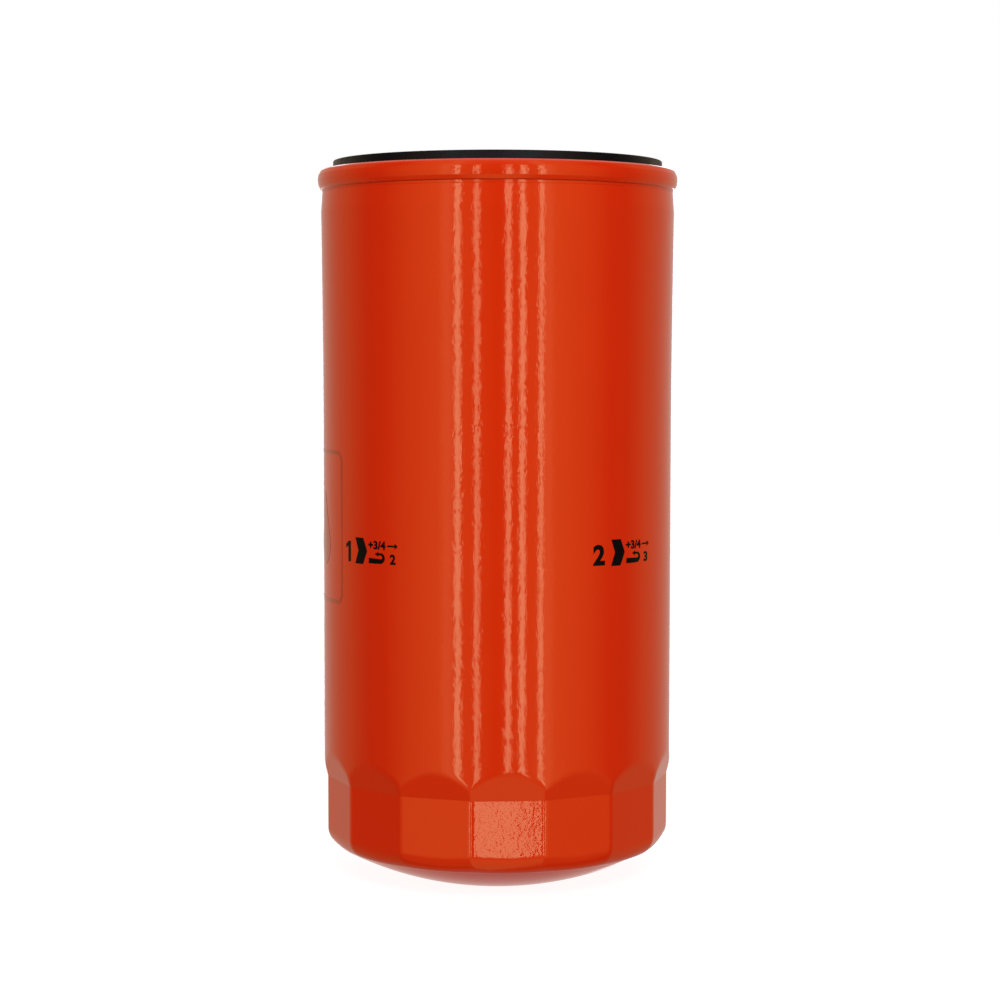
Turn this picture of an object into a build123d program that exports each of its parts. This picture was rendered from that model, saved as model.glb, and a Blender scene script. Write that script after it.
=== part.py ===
from build123d import *
import math
import os

# Spin-on oil filter, upright on its domed end, open (threaded) end up.
# Z is the thread axis and z = 0 is the flat foot under the dome. Millimetres.

# Can: deep-drawn steel cup with pressed wrench flats
BODY_R = 46.5
CAN_SHEET = 0.45
FLAT_COUNT = 15
FLAT_APOTHEM = 44.8
FLAT_FACING = 3.8  # degrees from -Y towards +X to the middle of the first flat
RIDGE_R = 45.71
BREAK_Z = 27.6  # where each flat ends and its shoulder slants out
SHOULDER_DEG = 13.66
FLARE_START_Z = 124.0
FLARE_R = 47.0
FLARE_Z = 177.5
NECK_R = 46.6
NECK_Z = 182.3
CORNER_R = 5.6
CORNER_Z = 13.8
CREASE_R = 41.95
CREASE_Z = 8.5
DOME_R = 85.2
DOME_EDGE_DEG = 28.2
FOOT_INNER_R = 13.0
DIMPLE_R = 11.0
DIMPLE_Z = 1.1

# Double seam that joins can and lid; each layer is one sheet, listed from the inside out
LID_SHEET = 0.55
SEAM_GAP = 0.03
SEAM_TOP_Z = 188.6
SEAM_BOTTOM_Z = 182.85
CHUCK_WALL_R = 45.475
CAN_WALL_R = CHUCK_WALL_R + (LID_SHEET + CAN_SHEET) / 2 + SEAM_GAP
COVER_HOOK_R = CAN_WALL_R + (LID_SHEET + CAN_SHEET) / 2 + SEAM_GAP
BODY_HOOK_R = COVER_HOOK_R + (LID_SHEET + CAN_SHEET) / 2 + SEAM_GAP
SEAM_WALL_R = BODY_HOOK_R + (LID_SHEET + CAN_SHEET) / 2 + SEAM_GAP
NECK_END_Z = 183.1
HOOK_TOP_Z = 187.4
HOOK_TIP_Z = 183.72
COVER_HOOK_TIP_Z = 186.7
HOOK_BEND_R = 0.5

# Lid: sheet ring that carries the gasket and is welded to the tapping plate
LID_FLOOR_Z = 184.4
RIB_TOP_Z = 187.6
RIB_OUTER_R = 38.6
RIB_WIDTH = 2.6
LID_OPENING_R = 26.5

# Outer gasket
GASKET_R = 43.8
GASKET_TOP_Z = 190.9
TOUCH = 0.02  # paper-thin gap between faces that lie on each other

# Tapping plate, 1-12 UNF
PLATE_R = 44.2
PLATE_TOP_Z = 183.8
PLATE_BOTTOM_Z = 179.3
THREAD_MINOR_R = 11.55
HUB_BOTTOM_Z = 171.8
HUB_SHOULDER_Z = 175.0
HUB_SHOULDER_R = 17.0
HUB_R = 15.5
INLET_COUNT = 8
INLET_R = 3.5
INLET_CIRCLE_R = 22.4

# Anti-drainback valve
RUNNING_FIT = 0.05
VALVE_COLLAR_R = 18.7
VALVE_COLLAR_Z = 176.8
VALVE_LIP_R = 31.2

# Filter element
CAP_SHEET = 0.7
CAP_R = 40.0
CAP_SKIRT = 5.0
TOP_CAP_Z = 170.0
BOTTOM_CAP_Z = 24.0
CAP_NECK_R = 18.7
CAP_NECK_TOP_Z = 173.5
SEAT_LIP_R = 9.5
SEAT_LIP_Z = 25.7
TUBE_R = 20.5
TUBE_SHEET = 0.6
TUBE_HOLE_R = 2.5
TUBE_COLUMNS = 10
TUBE_ROWS = 14
ADHESIVE = 2.5
PLEAT_COUNT = 56
PAPER = 0.65
PLEAT_OUTER_R = 38.6
PLEAT_INNER_R = 21.0
OUTER_FOLD_R = 0.9
INNER_FOLD_R = 0.55
BEAD_COUNT = 5
BEAD_HEIGHT = 2.0

# Bypass valve, in the closed end of the element
CAGE_R = 15.8
CAGE_SHEET = 0.8
CAGE_FLANGE_R = 19.4
CAGE_TOP_Z = 45.8
WINDOW_WIDTH = 12.0
POPPET_R = 12.8
POPPET_TOP_Z = 28.2
STEM_R = 2.0
STEM_TOP_Z = 48.5
BYPASS_SEAL_TOP_Z = 27.2
BYPASS_WIRE_R = 0.6
BYPASS_COIL_R = 7.5
BYPASS_TURNS = 5

# Spring that holds the element against the hub
RETAINER_R = 20.0
RETAINER_SHEET = 0.8
RETAINER_SKIRT_Z = 19.0
SPRING_WIRE_R = 1.2
SPRING_COIL_R = 15.6
SPRING_TURNS = 4


def turned(face):
    """Revolve a face drawn as (radius, height) about the thread axis."""
    return revolve(Plane.XZ * face, axis=Axis.Z)


def ring(inner_r, outer_r, low_z, high_z):
    """Plain ring; inner_r of 0 makes a disc."""
    points = [(inner_r, low_z), (outer_r, low_z), (outer_r, high_z), (inner_r, high_z)]
    return turned(make_face(Polyline(*points, close=True)))


def shifted(points, distance):
    """Open line moved sideways, to its left for a positive distance, mitred at its corners."""
    moved = []
    for index, (x, y) in enumerate(points):
        before = points[max(index - 1, 0)]
        after = points[min(index + 1, len(points) - 1)]
        start = math.atan2(y - before[1], x - before[0]) if index else None
        end = math.atan2(after[1] - y, after[0] - x) if index < len(points) - 1 else None
        start = end if start is None else start
        end = start if end is None else end
        turn = (end - start + math.pi) % (2 * math.pi) - math.pi
        normal = start + turn / 2 + math.pi / 2
        reach = distance / math.cos(turn / 2)
        moved.append((x + reach * math.cos(normal), y + reach * math.sin(normal)))
    return moved


def turn_at(points, index):
    """Signed turn of an open line at one of its inner points, in radians."""
    (x0, y0), (x1, y1), (x2, y2) = points[index - 1 : index + 2]
    turn = math.atan2(y2 - y1, x2 - x1) - math.atan2(y1 - y0, x1 - x0)
    return (turn + math.pi) % (2 * math.pi) - math.pi


def bent_sheet(points, bends, sheet):
    """Ring of bent sheet metal: middle line through points, one middle bend radius per corner."""
    left_radii = []
    right_radii = []
    for index, bend in enumerate(bends, start=1):
        inward = math.copysign(sheet / 2, turn_at(points, index))
        left_radii.append(max(bend - inward, 0))
        right_radii.append(max(bend + inward, 0))
    left = shifted(points, sheet / 2)
    right = shifted(points, -sheet / 2)
    outline = FilletPolyline(*left, radius=left_radii)
    outline += FilletPolyline(*right, radius=right_radii)
    outline += Line(left[0], right[0])
    outline += Line(left[-1], right[-1])
    return turned(make_face(outline))


def arc_about(center, radius, start, end):
    """Arc about a centre from one point to another, the shorter way round."""
    first = math.degrees(math.atan2(start[1] - center[1], start[0] - center[0]))
    last = math.degrees(math.atan2(end[1] - center[1], end[0] - center[0]))
    sweep_deg = (last - first + 180) % 360 - 180
    return CenterArc(center, radius, first, sweep_deg)


def dome_center():
    """Centre of the arc that draws the dome."""
    edge = math.radians(DOME_EDGE_DEG)
    return CREASE_R - DOME_R * math.sin(edge), CREASE_Z + DOME_R * math.cos(edge)


def crease_point(corner, corner_radius, dome, dome_radius):
    """Where the corner arc meets the dome, on the outer side."""
    run = corner[0] - dome[0]
    rise = corner[1] - dome[1]
    apart = math.hypot(run, rise)
    along = (dome_radius**2 - corner_radius**2 + apart**2) / (2 * apart)
    across = math.sqrt(dome_radius**2 - along**2)
    x = dome[0] + (along * run + across * rise) / apart
    y = dome[1] + (along * rise - across * run) / apart
    other_x = dome[0] + (along * run - across * rise) / apart
    other_y = dome[1] + (along * rise + across * run) / apart
    return (x, y) if x < other_x else (other_x, other_y)


def flat_cutter(inset):
    """What one wrench flat, its shoulder and its rounded foot remove, about the flat facing +X."""
    dome = dome_center()
    foot_reach = DOME_R - CORNER_R
    center = (FLAT_APOTHEM - CORNER_R, 0)
    drop = math.sqrt(foot_reach**2 - (center[0] - dome[0]) ** 2)
    below_dome = 0.03
    center = (center[0], dome[1] - drop - below_dome)
    radius = CORNER_R - inset
    edge = math.atan2(center[0] - dome[0], drop)
    foot = (center[0] + radius * math.sin(edge), center[1] - radius * math.cos(edge))
    shoulder_x = BODY_R + 0.7
    shoulder_z = BREAK_Z + (shoulder_x - FLAT_APOTHEM) / math.tan(math.radians(SHOULDER_DEG))
    face_line = [(FLAT_APOTHEM, center[1]), (FLAT_APOTHEM, BREAK_Z), (shoulder_x, shoulder_z)]
    face_line = shifted(face_line, inset)
    outside_x = BODY_R + 5
    outline = Polyline(*face_line)
    outline += arc_about(center, radius, face_line[0], foot)
    rest = [foot, (foot[0], -1), (outside_x, -1), (outside_x, face_line[-1][1]), face_line[-1]]
    outline += Polyline(*rest)
    half_width = 1.1 * FLAT_APOTHEM * math.tan(math.pi / FLAT_COUNT)
    return extrude(Plane.XZ * make_face(outline), amount=half_width, both=True)


def can_block(inset):
    """Solid inside the can's outer surface, or inside its inner surface for an inset of one sheet."""
    dome = dome_center()
    corner = (RIDGE_R - CORNER_R, CORNER_Z)
    ridge_spread = math.cos(math.pi / FLAT_COUNT)
    body_start = (BODY_R - RIDGE_R) / math.tan(math.radians(SHOULDER_DEG)) * ridge_spread
    wall = [(RIDGE_R, CORNER_Z), (RIDGE_R, BREAK_Z), (BODY_R, BREAK_Z + body_start)]
    wall += [(BODY_R, FLARE_START_Z), (FLARE_R, FLARE_Z), (NECK_R, NECK_Z)]
    can_wall_outer = CAN_WALL_R + CAN_SHEET / 2
    wall += [(can_wall_outer, NECK_END_Z), (can_wall_outer, HOOK_TOP_Z - 1)]
    wall = shifted(wall, inset)
    floor = [(0, DIMPLE_Z), (DIMPLE_R, DIMPLE_Z), (FOOT_INNER_R, 0), (FOOT_INNER_R + 1, 0)]
    floor = shifted(floor, inset)[:-1]
    dome_radius = DOME_R - inset
    foot_edge = (dome[0] + math.sqrt(dome_radius**2 - (dome[1] - inset) ** 2), inset)
    crease = crease_point(corner, CORNER_R - inset, dome, dome_radius)
    outline = Polyline(*floor, foot_edge)
    outline += arc_about(dome, dome_radius, foot_edge, crease)
    outline += arc_about(corner, CORNER_R - inset, crease, wall[0])
    outline += FilletPolyline(*wall, radius=[0, 0, 120, 30, 0.4, 0.3])
    outline += Polyline(wall[-1], (0, wall[-1][1]), floor[0])
    cutter = flat_cutter(inset)
    pitch = 360 / FLAT_COUNT
    cutters = [Rot(0, 0, FLAT_FACING - 90 + pitch * index) * cutter for index in range(FLAT_COUNT)]
    return turned(make_face(outline)) - cutters


def make_can():
    """Drawn cup with its body hook at the top."""
    middle_top = HOOK_TOP_Z - CAN_SHEET / 2
    line = [(CAN_WALL_R, HOOK_TOP_Z - 1), (CAN_WALL_R, middle_top)]
    line += [(BODY_HOOK_R, middle_top), (BODY_HOOK_R, HOOK_TIP_Z)]
    return can_block(0) - can_block(CAN_SHEET) + bent_sheet(line, [HOOK_BEND_R] * 2, CAN_SHEET)


def make_seaming_lid():
    """Lid: cover hook, seam wall, gasket channel, retaining rib and weld land, in one sheet."""
    half = LID_SHEET / 2
    seam_low = SEAM_BOTTOM_Z + half
    seam_high = SEAM_TOP_Z - half
    floor = LID_FLOOR_Z - half
    rib_high = RIB_TOP_Z - half
    rib_outer = RIB_OUTER_R - half
    rib_inner = RIB_OUTER_R - RIB_WIDTH + half
    line = [(COVER_HOOK_R, COVER_HOOK_TIP_Z), (COVER_HOOK_R, seam_low)]
    line += [(SEAM_WALL_R, seam_low), (SEAM_WALL_R, seam_high)]
    line += [(CHUCK_WALL_R, seam_high), (CHUCK_WALL_R, floor)]
    line += [(rib_outer, floor), (rib_outer, rib_high), (rib_inner, rib_high)]
    line += [(rib_inner, floor), (LID_OPENING_R, floor)]
    bends = [HOOK_BEND_R, HOOK_BEND_R, 1.4, 0.6, 0.8, half, 0.8, 0.8, 0.5]
    return bent_sheet(line, bends, LID_SHEET)


def make_seam_compound():
    """Bead of sealing compound between the body hook and the top of the seam."""
    return ring(CAN_WALL_R, BODY_HOOK_R - 0.4, HOOK_TOP_Z + 0.03, HOOK_TOP_Z + 0.43)


def make_outer_gasket():
    """Square-cut sealing ring, stretched over the retaining rib."""
    return ring(RIB_OUTER_R + TOUCH, GASKET_R, LID_FLOOR_Z + TOUCH, GASKET_TOP_Z)


def make_tapping_plate():
    """Thick plate with the threaded hub and the ring of inlet holes."""
    plate = ring(THREAD_MINOR_R, PLATE_R, PLATE_BOTTOM_Z, PLATE_TOP_Z)
    plate += ring(THREAD_MINOR_R, HUB_SHOULDER_R, HUB_SHOULDER_Z, PLATE_BOTTOM_Z)
    plate += ring(THREAD_MINOR_R, HUB_R, HUB_BOTTOM_Z, HUB_SHOULDER_Z)
    middle_z = (PLATE_TOP_Z + PLATE_BOTTOM_Z) / 2
    hole = Cylinder(INLET_R, PLATE_TOP_Z - PLATE_BOTTOM_Z + 2)
    for index in range(INLET_COUNT):
        plate -= Rot(0, 0, index * 360 / INLET_COUNT) * Pos(INLET_CIRCLE_R, 0, middle_z) * hole
    return plate


def make_anti_drainback_valve():
    """Rubber collar on the hub with a flap whose lip closes on the plate from below."""
    bore_r = HUB_SHOULDER_R + RUNNING_FIT
    seat_z = PLATE_BOTTOM_Z - RUNNING_FIT
    points = [(bore_r, VALVE_COLLAR_Z), (VALVE_COLLAR_R, VALVE_COLLAR_Z)]
    points += [(VALVE_LIP_R - 1.6, VALVE_COLLAR_Z + 0.8), (VALVE_LIP_R, seat_z - 0.85)]
    points += [(VALVE_LIP_R, seat_z - 0.35), (VALVE_LIP_R - 0.9, seat_z)]
    points += [(VALVE_LIP_R - 1.5, seat_z), (VALVE_LIP_R - 1.8, seat_z - 0.65)]
    points += [(VALVE_COLLAR_R, VALVE_COLLAR_Z + 1.2), (VALVE_COLLAR_R, seat_z), (bore_r, seat_z)]
    return turned(make_face(Polyline(*points, close=True)))


def make_element_seal():
    """Rubber grommet in the top cap's neck that slides on the hub."""
    bore_r = HUB_R + RUNNING_FIT
    neck_r = CAP_NECK_R - CAP_SHEET - TOUCH
    top_z = HUB_SHOULDER_Z - TOUCH
    flange_z = CAP_NECK_TOP_Z + TOUCH
    points = [(bore_r, TOP_CAP_Z - CAP_SHEET), (neck_r, TOP_CAP_Z - CAP_SHEET), (neck_r, flange_z)]
    points += [(CAP_NECK_R + 0.8, flange_z), (CAP_NECK_R + 0.8, top_z - 0.7)]
    points += [(CAP_NECK_R - 0.5, top_z), (bore_r, top_z)]
    return turned(make_face(Polyline(*points, close=True)))


def make_element_top_cap():
    """Pressed end cap with a neck for the grommet."""
    half = CAP_SHEET / 2
    disc_z = TOP_CAP_Z - half
    line = [(CAP_NECK_R - half, CAP_NECK_TOP_Z), (CAP_NECK_R - half, disc_z)]
    line += [(CAP_R - half, disc_z), (CAP_R - half, TOP_CAP_Z - CAP_SKIRT)]
    return bent_sheet(line, [0.6, 0.9], CAP_SHEET)


def make_element_bottom_cap():
    """Pressed end cap with the bypass seat turned up round its hole."""
    half = CAP_SHEET / 2
    disc_z = BOTTOM_CAP_Z + half
    line = [(SEAT_LIP_R + half, SEAT_LIP_Z), (SEAT_LIP_R + half, disc_z)]
    line += [(CAP_R - half, disc_z), (CAP_R - half, BOTTOM_CAP_Z + CAP_SKIRT)]
    return bent_sheet(line, [0.4, 0.9], CAP_SHEET)


def make_adhesive(low_z):
    """Ring of potting adhesive that holds one end of the paper in its cap."""
    inner_r = TUBE_R + TOUCH
    outer_r = CAP_R - CAP_SHEET - 0.15
    return ring(inner_r, outer_r, low_z, low_z + ADHESIVE)


def bottom_adhesive_z():
    """Underside of the lower adhesive ring."""
    return BOTTOM_CAP_Z + CAP_SHEET + 0.3


def top_adhesive_z():
    """Underside of the upper adhesive ring."""
    return TOP_CAP_Z - CAP_SHEET - 0.3 - ADHESIVE


def media_span():
    """Lowest and highest z of the paper."""
    return bottom_adhesive_z() + ADHESIVE, top_adhesive_z()


def make_centre_tube():
    """Perforated tube with rows of holes, every second row turned by half a column."""
    low = BOTTOM_CAP_Z + CAP_SHEET + TOUCH
    high = TOP_CAP_Z - CAP_SHEET - TOUCH
    tube = ring(TUBE_R - TUBE_SHEET, TUBE_R, low, high)
    row_pitch = (high - low) / (TUBE_ROWS + 1)
    drill = Rot(0, 90, 0) * Cylinder(TUBE_HOLE_R, 3 * TUBE_R)
    drills = []
    for row in range(TUBE_ROWS):
        for column in range(TUBE_COLUMNS // 2):
            turn = (column + row % 2 / 2) * 360 / TUBE_COLUMNS
            drills.append(Pos(0, 0, low + row_pitch * (row + 1)) * Rot(0, 0, turn) * drill)
    return tube - drills


def pleat_wire(outer_fold, inner_fold):
    """Closed zigzag of straight runs that are tangent to the outer and the inner folds."""
    outer_center_r = PLEAT_OUTER_R - PAPER / 2 - OUTER_FOLD_R
    inner_center_r = PLEAT_INNER_R + PAPER / 2 + INNER_FOLD_R
    half_pitch = math.pi / PLEAT_COUNT
    edges = []
    for index in range(2 * PLEAT_COUNT):
        angle = index * half_pitch
        outer_turn = index % 2 == 0
        radius = outer_fold if outer_turn else inner_fold
        center_r = outer_center_r if outer_turn else inner_center_r
        near_r = inner_center_r if outer_turn else outer_center_r
        run = near_r * math.cos(half_pitch) - center_r
        rise = near_r * math.sin(half_pitch)
        lean = math.asin((outer_fold + inner_fold) / math.hypot(run, rise))
        side = math.atan2(rise, run)
        spread = side + (lean - math.pi / 2 if outer_turn else math.pi / 2 - lean)
        ends = []
        for sign in (-1, 1):
            reach = angle + sign * spread
            x = center_r * math.cos(angle) + radius * math.cos(reach)
            y = center_r * math.sin(angle) + radius * math.sin(reach)
            ends.append((x, y))
        tip_r = center_r + (radius if outer_turn else -radius)
        tip = (tip_r * math.cos(angle), tip_r * math.sin(angle))
        edges.append((ends[0], tip, ends[1]))
    pieces = []
    for index, (start, tip, end) in enumerate(edges):
        following = edges[(index + 1) % len(edges)][0]
        pieces.append(Edge.make_three_point_arc(start, tip, end))
        pieces.append(Edge.make_line(end, following))
    return Wire(pieces)


def make_pleated_media():
    """Star-pleated filter paper."""
    low, high = media_span()
    outside = pleat_wire(OUTER_FOLD_R + PAPER / 2, INNER_FOLD_R - PAPER / 2)
    inside = pleat_wire(OUTER_FOLD_R - PAPER / 2, INNER_FOLD_R + PAPER / 2)
    paper = Face(outside, [inside])
    return Pos(0, 0, low + TOUCH) * extrude(paper, amount=high - low - 2 * TOUCH, dir=(0, 0, 1))


def clip_half_width():
    """Half the outside width of the clip, which closes over one pleat with room for its fold."""
    return OUTER_FOLD_R + PAPER / 2 + 0.05 + 0.3


def make_media_seam_clip():
    """Metal channel crimped over the pleat where the ends of the paper meet."""
    low = BOTTOM_CAP_Z + CAP_SKIRT + 1
    high = TOP_CAP_Z - CAP_SKIRT - 1
    half = clip_half_width()
    depth = 5.0
    outer_r = PLEAT_OUTER_R + 0.4
    height = high - low
    middle = (low + high) / 2
    channel = Pos(outer_r - depth / 2, 0, middle) * Box(depth, 2 * half, height)
    inner_half = half - 0.3
    hollow = Pos(outer_r - 0.35 - depth / 2, 0, middle) * Box(depth, 2 * inner_half, height + 2)
    return channel - hollow


def make_pleat_spacing_bands():
    """Hot-melt beads round the pleats, each open where the clip runs through."""
    low, high = media_span()
    half = clip_half_width() + 0.3
    beads = []
    for index in range(BEAD_COUNT):
        middle = low + (high - low) * (index + 1) / (BEAD_COUNT + 1)
        low_z = middle - BEAD_HEIGHT / 2
        bead = ring(PLEAT_OUTER_R + TOUCH, PLEAT_OUTER_R + 0.62, low_z, low_z + BEAD_HEIGHT)
        beads.append(bead - Pos(PLEAT_OUTER_R, 0, middle) * Box(6, 2 * half, 2 * BEAD_HEIGHT))
    return Compound(children=beads)


def make_bypass_cage():
    """Valve cage with a flange, four windows and a guide boss for the stem."""
    low = BOTTOM_CAP_Z + CAP_SHEET + TOUCH
    half = CAGE_SHEET / 2
    line = [(CAGE_FLANGE_R, low + half), (CAGE_R - half, low + half)]
    line += [(CAGE_R - half, CAGE_TOP_Z - half), (STEM_R + RUNNING_FIT, CAGE_TOP_Z - half)]
    cage = bent_sheet(line, [0.8, 1.5], CAGE_SHEET)
    window_low = low + 3
    window_high = CAGE_TOP_Z - 3.5
    window = Box(3 * CAGE_R, WINDOW_WIDTH, window_high - window_low)
    for turn in (0, 90):
        cage -= Pos(0, 0, (window_low + window_high) / 2) * Rot(0, 0, turn) * window
    return cage + ring(STEM_R + RUNNING_FIT, 2 * STEM_R, CAGE_TOP_Z - 5, CAGE_TOP_Z + 0.8)


def make_bypass_poppet():
    """Valve disc on its guide stem."""
    disc = ring(0, POPPET_R, BYPASS_SEAL_TOP_Z + TOUCH, POPPET_TOP_Z)
    return disc + ring(0, STEM_R, POPPET_TOP_Z, STEM_TOP_Z)


def make_bypass_seal():
    """Flat rubber washer under the valve disc."""
    return ring(SEAT_LIP_R - 2.5, POPPET_R - 0.3, SEAT_LIP_Z + TOUCH, BYPASS_SEAL_TOP_Z)


def coil_spring(low_z, high_z, coil_r, wire_r, turns):
    """Round-wire compression spring between two faces."""
    start_z = low_z + wire_r
    rise = high_z - low_z - 2 * wire_r
    path = Helix(rise / turns, rise, coil_r, center=(0, 0, start_z))
    section = Plane(origin=path @ 0, z_dir=path % 0) * Circle(wire_r)
    return sweep(section, path=path, is_frenet=True)


def make_bypass_spring():
    """Light spring that holds the bypass closed."""
    low = POPPET_TOP_Z + TOUCH
    high = CAGE_TOP_Z - CAGE_SHEET - TOUCH
    return coil_spring(low, high, BYPASS_COIL_R, BYPASS_WIRE_R, BYPASS_TURNS)


def make_spring_retainer():
    """Cup between the spring and the bottom cap, with a hole for the bypass flow."""
    half = RETAINER_SHEET / 2
    disc_z = BOTTOM_CAP_Z - TOUCH - half
    line = [(SEAT_LIP_R + 1, disc_z), (RETAINER_R - half, disc_z), (RETAINER_R - half, RETAINER_SKIRT_Z)]
    return bent_sheet(line, [0.9], RETAINER_SHEET)


def make_element_spring():
    """Coil spring from the can's foot ring to the retainer."""
    low = CAN_SHEET + TOUCH
    high = BOTTOM_CAP_Z - RETAINER_SHEET - 2 * TOUCH
    return coil_spring(low, high, SPRING_COIL_R, SPRING_WIRE_R, SPRING_TURNS)


def main():
    """Write one STEP file for each piece."""
    parts = {
        "can": make_can(),
        "seaming_lid": make_seaming_lid(),
        "seam_compound": make_seam_compound(),
        "outer_gasket": make_outer_gasket(),
        "tapping_plate": make_tapping_plate(),
        "anti_drainback_valve": make_anti_drainback_valve(),
        "element_seal": make_element_seal(),
        "element_top_cap": make_element_top_cap(),
        "top_adhesive": make_adhesive(top_adhesive_z()),
        "pleated_media": make_pleated_media(),
        "media_seam_clip": make_media_seam_clip(),
        "pleat_spacing_bands": make_pleat_spacing_bands(),
        "centre_tube": make_centre_tube(),
        "bottom_adhesive": make_adhesive(bottom_adhesive_z()),
        "element_bottom_cap": make_element_bottom_cap(),
        "bypass_cage": make_bypass_cage(),
        "bypass_poppet": make_bypass_poppet(),
        "bypass_seal": make_bypass_seal(),
        "bypass_spring": make_bypass_spring(),
        "spring_retainer": make_spring_retainer(),
        "element_spring": make_element_spring(),
    }
    os.makedirs("parts", exist_ok=True)
    for name, part in parts.items():
        export_step(part, f"parts/{name}.step")


main()
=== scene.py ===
import math

import bmesh
import bpy
from mathutils import Matrix, Vector


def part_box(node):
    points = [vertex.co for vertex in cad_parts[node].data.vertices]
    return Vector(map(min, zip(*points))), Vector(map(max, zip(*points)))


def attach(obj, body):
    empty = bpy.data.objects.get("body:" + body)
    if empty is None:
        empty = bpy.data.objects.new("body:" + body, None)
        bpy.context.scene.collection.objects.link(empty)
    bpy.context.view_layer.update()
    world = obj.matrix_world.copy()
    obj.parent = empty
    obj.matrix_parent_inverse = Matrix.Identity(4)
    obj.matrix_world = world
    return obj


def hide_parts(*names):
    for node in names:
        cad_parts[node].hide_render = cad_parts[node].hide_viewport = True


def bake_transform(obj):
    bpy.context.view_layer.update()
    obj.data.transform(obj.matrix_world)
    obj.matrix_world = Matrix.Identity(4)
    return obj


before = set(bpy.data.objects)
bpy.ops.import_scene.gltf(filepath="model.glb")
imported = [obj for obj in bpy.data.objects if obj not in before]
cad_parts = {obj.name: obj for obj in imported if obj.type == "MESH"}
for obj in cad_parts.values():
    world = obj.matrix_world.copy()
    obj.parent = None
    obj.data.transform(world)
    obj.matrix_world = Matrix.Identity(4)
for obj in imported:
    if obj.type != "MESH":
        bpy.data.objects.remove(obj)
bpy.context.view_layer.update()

# Everything below is drawn in millimetres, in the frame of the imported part, and scaled once.
MM = 0.001


def cad_box(node):
    """Lowest and highest corner of a CAD node, in millimetres."""
    low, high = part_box(node)
    return [c / MM for c in low], [c / MM for c in high]


# Can
CAN_SHEET = 0.45
BODY_R = 46.5
FLAT_COUNT = 15
FLAT_FACING = 3.8
FLAT_APOTHEM = 44.8
RIDGE_FILLET = 4.0
BREAK_Z = 27.6
SHOULDER_SLOPE = math.tan(math.radians(13.66))
SHOULDER_BLEND = 0.3
CORNER_Z = 13.8
CREASE = (41.95, 8.5)
CREASE_DEG = 20.0
DOME_R = 85.2
DOME_EDGE_DEG = 28.2
DIMPLE = (11.0, 1.1)
FOOT_INNER_R = 13.0
FLARE_START_Z = 124.0
FLARE = (47.0, 177.5)
NECK = (46.65, 182.5)
NECK_END_Z = 183.35
CORNER_DIP = 0.5  # how much lower the corner starts in the middle of a flat than at a ridge
CORNER_HANDLES = (0.6, 0.46)  # pull of the corner's curve out from the crease and down from the flat
CREASE_LEAD = 0.2
HOOK_R = 46.23
HOOK_TIP_R = 46.84
HOOK_TOP_Z = 186.95
HOOK_TIP_Z = 183.92
# Mesh rows up the can, closer together where the surface turns
FLAT_ROWS = (15.0, 18.0, 21.5, 25.0, BREAK_Z - 0.5, BREAK_Z - 0.12, BREAK_Z)
SHOULDER_ROWS = (0.03, 0.1, 0.22, 0.35, 0.48, 0.58, 0.66, 0.74, 0.82, 0.9, 1.0)  # shares of its height
ARCH_ROWS = (0.35, 0.7, 1.05, 1.4, 1.8, 2.6, 4.0)  # above the arch
BODY_ROWS = (41, 46, 54, 64, 76, 88, 100, 112, 124, 132, 140, 148, 156, 163, 169, 173)
HALVINGS = 40  # of the search for the height of an arch
COLUMN_OFFSETS = (1, 2, 3, 4, 5, 6, 7, 8, 9, 10, 10.6, 10.96, 11.3, 11.65)  # degrees from a flat's middle

# Rolled seam, lid and gasket
LID_LOW, LID_HIGH = cad_box("seaming_lid")
SEAM_R = LID_HIGH[0]
SEAM_LOW_Z = LID_LOW[2]
SEAM_TOP_Z = LID_HIGH[2]
GASKET_LOW, GASKET_HIGH = cad_box("outer_gasket")
GASKET_R = GASKET_HIGH[1] - 0.12
LID_FLOOR_Z = 184.4
LID_SHEET = 0.55
RIB_R = 38.6
RIB_WIDTH = 2.6
RIB_TOP_Z = 187.6
LID_OPENING_R = 26.5
PAINT_INNER_R = 45.5  # paint ends where the seam turns down into the gasket channel
WELD_COUNT = 12
WELD_CIRCLE_R = 31.3
WELD_SEGMENTS = 28

# Tapping plate
PLATE_LOW, PLATE_HIGH = cad_box("tapping_plate")
PLATE_TOP_Z = PLATE_HIGH[2]
THREAD_MINOR_R = 11.55
THREAD_PITCH = 25.4 / 12
THREAD_DEPTH = 1.1
THREAD_COLUMNS = 96
THREAD_ROWS = 14  # mesh rows to one pitch
THREAD_CREST = 0.125  # share of half the pitch that each crest's flat takes
LEAD_IN = 1.0
LEAD_IN_MAX = 1.4
LEAD_IN_SLOPE = 1.1

# Springs
ELEMENT_COIL = (15.6, 1.2, 3.0)  # radius of the coil and of its wire, and its active turns
BYPASS_COIL = (7.5, 0.6, 4.0)
RETAINER_SEAT = 0.82  # from the retainer's top down to the face that its spring meets
POPPET_SEAT = 1.0
CAGE_SEAT = 1.62
CLOSED_TURNS = 1.0
CLOSED_RISE = 2.04  # rise of a closed turn, in wire radii
COIL_STEPS = 48
COIL_SIDES = 14

# Printing on the can
INK_STEP = 0.6  # widest flat stretch of ink across the curve
INK_RISE = 0.02
INK_THICKNESS = 0.03
DEGREE = BODY_R * math.pi / 180  # one degree round the can, as arc
MARK_COUNT = 4
MARK_BASE_Z = 86.5
CHEVRON = ((6.7, 6.6), (9.96, 6.6), (11.45, 3.3), (9.9, -0.1), (6.65, -0.1), (7.95, 3.3))
FIRST_MARK_DEG = -59.6
LABEL_FROM_DEG = -118.0
LABEL_TO_DEG = -60.0
LABEL_LOW_Z = 75.5
LABEL_HIGH_Z = 114.5
LABEL_BARS = (15, 19, 12, 17, 19, 9)


# ---------------------------------------------------------------- materials


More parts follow.
